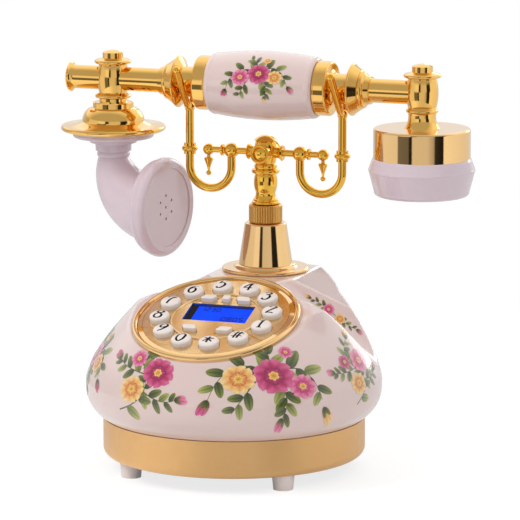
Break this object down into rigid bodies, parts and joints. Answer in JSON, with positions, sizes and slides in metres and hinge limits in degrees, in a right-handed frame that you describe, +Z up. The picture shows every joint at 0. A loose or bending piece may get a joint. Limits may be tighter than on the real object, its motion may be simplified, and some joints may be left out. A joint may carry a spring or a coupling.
{
  "type": "desk telephone",
  "caption": "Ornate push-button desk telephone: round body on a plinth, slanted dial with display, gold cradle with hooks and a long horn handset that lifts off.",
  "frame": {"origin": "on the desk, under the axis of the round body and the middle of the handset's length", "axes": "+Z up; -Y the way the dial faces; +X along the handset towards its ear end"},
  "size_m": [0.278, 0.1881, 0.2586],
  "materials": {
    "body_resin": "glossy pinkish white lacquer with painted flowers",
    "handset_white": "glossy white with a faint lavender cast",
    "gold_plated_abs": "polished gold plating over moulded plastic",
    "gold_plated_brass": "polished gold plating over turned brass",
    "satin_gold": "satin gold",
    "key_ivory": "glossy ivory with printed black signs",
    "display_blue": "backlit blue panel",
    "black_plastic": "moulded black",
    "foot_rubber": "soft pinkish white",
    "mat_rubber": "grey silicone",
    "board_green": "green solder mask",
    "spring_steel": "bright"
  },
  "bodies": {
    "base": {"body_shell": "body_resin", "dial_bezel": "gold_plated_abs", "dial_plate": "gold_plated_abs", "pedestal": "gold_plated_brass", "plinth": "satin_gold", "knurled_collar": "satin_gold", "display_panel": "display_blue", "display_frame": "black_plastic", "line_jack": "black_plastic", "handset_jack": "black_plastic", "bottom_cover": "black_plastic", "hook_switch": "black_plastic", "ringer": "black_plastic", "foot_front_right": "foot_rubber", "foot_back_right": "foot_rubber", "foot_back_left": "foot_rubber", "foot_front_left": "foot_rubber", "keypad_mat": "mat_rubber", "keypad_board": "board_green", "main_board": "board_green"},
    "cradle": {"column": "gold_plated_brass", "stem_clip": "spring_steel", "hub": "gold_plated_brass", "arm_left": "gold_plated_brass", "arm_right": "gold_plated_brass", "hook_left": "gold_plated_brass", "hook_right": "gold_plated_brass", "pendant_left": "gold_plated_brass", "pendant_right": "gold_plated_brass"},
    "handset": {"grip": "handset_white", "neck_left": "gold_plated_abs", "neck_right": "gold_plated_abs", "mouth_tube": "gold_plated_abs", "ear_tube": "gold_plated_abs", "cord_socket": "black_plastic", "mouth_fitting": "gold_plated_abs", "ear_fitting": "gold_plated_abs", "mouth_dome": "gold_plated_abs", "horn_elbow": "handset_white", "horn_rim": "handset_white", "horn_grille": "handset_white", "ear_cup": "gold_plated_abs", "ear_cap": "handset_white"},
    "key_1": {"key_1": "key_ivory"},
    "key_2": {"key_2": "key_ivory"},
    "key_3": {"key_3": "key_ivory"},
    "key_4": {"key_4": "key_ivory"},
    "key_5": {"key_5": "key_ivory"},
    "key_6": {"key_6": "key_ivory"},
    "key_7": {"key_7": "key_ivory"},
    "key_8": {"key_8": "key_ivory"},
    "key_9": {"key_9": "key_ivory"},
    "key_0": {"key_0": "key_ivory"},
    "key_star": {"key_star": "key_ivory"},
    "key_hash": {"key_hash": "key_ivory"},
    "key_left_upper": {"key_left_upper": "key_ivory"},
    "key_middle_upper": {"key_middle_upper": "key_ivory"},
    "key_right_upper": {"key_right_upper": "key_ivory"},
    "key_left_lower": {"key_left_lower": "key_ivory"},
    "key_right_lower": {"key_right_lower": "key_ivory"}
  },
  "joints": [
    {"name": "cradle_plunger", "type": "slide", "parent": "base", "child": "cradle", "axis": [0, 0, 1], "range_m": [0, 0.004], "stiffness_N_per_m": 900, "springref_m": 0.004},
    {"name": "handset_lift", "type": "slide", "parent": "cradle", "child": "handset", "axis": [0, 0, 1], "range_m": [0, 0.14]},
    {"name": "key_1_press", "type": "slide", "parent": "base", "child": "key_1", "axis": [0, 0.3223, -0.9466], "range_m": [0, 0.002], "stiffness_N_per_m": 300, "springref_m": -0.001},
    {"name": "key_2_press", "type": "slide", "parent": "base", "child": "key_2", "axis": [0, 0.3223, -0.9466], "range_m": [0, 0.002], "stiffness_N_per_m": 300, "springref_m": -0.001},
    {"name": "key_3_press", "type": "slide", "parent": "base", "child": "key_3", "axis": [0, 0.3223, -0.9466], "range_m": [0, 0.002], "stiffness_N_per_m": 300, "springref_m": -0.001},
    {"name": "key_4_press", "type": "slide", "parent": "base", "child": "key_4", "axis": [0, 0.3223, -0.9466], "range_m": [0, 0.002], "stiffness_N_per_m": 300, "springref_m": -0.001},
    {"name": "key_5_press", "type": "slide", "parent": "base", "child": "key_5", "axis": [0, 0.3223, -0.9466], "range_m": [0, 0.002], "stiffness_N_per_m": 300, "springref_m": -0.001},
    {"name": "key_6_press", "type": "slide", "parent": "base", "child": "key_6", "axis": [0, 0.3223, -0.9466], "range_m": [0, 0.002], "stiffness_N_per_m": 300, "springref_m": -0.001},
    {"name": "key_7_press", "type": "slide", "parent": "base", "child": "key_7", "axis": [0, 0.3223, -0.9466], "range_m": [0, 0.002], "stiffness_N_per_m": 300, "springref_m": -0.001},
    {"name": "key_8_press", "type": "slide", "parent": "base", "child": "key_8", "axis": [0, 0.3223, -0.9466], "range_m": [0, 0.002], "stiffness_N_per_m": 300, "springref_m": -0.001},
    {"name": "key_9_press", "type": "slide", "parent": "base", "child": "key_9", "axis": [0, 0.3223, -0.9466], "range_m": [0, 0.002], "stiffness_N_per_m": 300, "springref_m": -0.001},
    {"name": "key_0_press", "type": "slide", "parent": "base", "child": "key_0", "axis": [0, 0.3223, -0.9466], "range_m": [0, 0.002], "stiffness_N_per_m": 300, "springref_m": -0.001},
    {"name": "key_star_press", "type": "slide", "parent": "base", "child": "key_star", "axis": [0, 0.3223, -0.9466], "range_m": [0, 0.002], "stiffness_N_per_m": 300, "springref_m": -0.001},
    {"name": "key_hash_press", "type": "slide", "parent": "base", "child": "key_hash", "axis": [0, 0.3223, -0.9466], "range_m": [0, 0.002], "stiffness_N_per_m": 300, "springref_m": -0.001},
    {"name": "key_left_upper_press", "type": "slide", "parent": "base", "child": "key_left_upper", "axis": [0, 0.3223, -0.9466], "range_m": [0, 0.002], "stiffness_N_per_m": 300, "springref_m": -0.001},
    {"name": "key_middle_upper_press", "type": "slide", "parent": "base", "child": "key_middle_upper", "axis": [0, 0.3223, -0.9466], "range_m": [0, 0.002], "stiffness_N_per_m": 300, "springref_m": -0.001},
    {"name": "key_right_upper_press", "type": "slide", "parent": "base", "child": "key_right_upper", "axis": [0, 0.3223, -0.9466], "range_m": [0, 0.002], "stiffness_N_per_m": 300, "springref_m": -0.001},
    {"name": "key_left_lower_press", "type": "slide", "parent": "base", "child": "key_left_lower", "axis": [0, 0.3223, -0.9466], "range_m": [0, 0.002], "stiffness_N_per_m": 300, "springref_m": -0.001},
    {"name": "key_right_lower_press", "type": "slide", "parent": "base", "child": "key_right_lower", "axis": [0, 0.3223, -0.9466], "range_m": [0, 0.002], "stiffness_N_per_m": 300, "springref_m": -0.001}
  ]
}
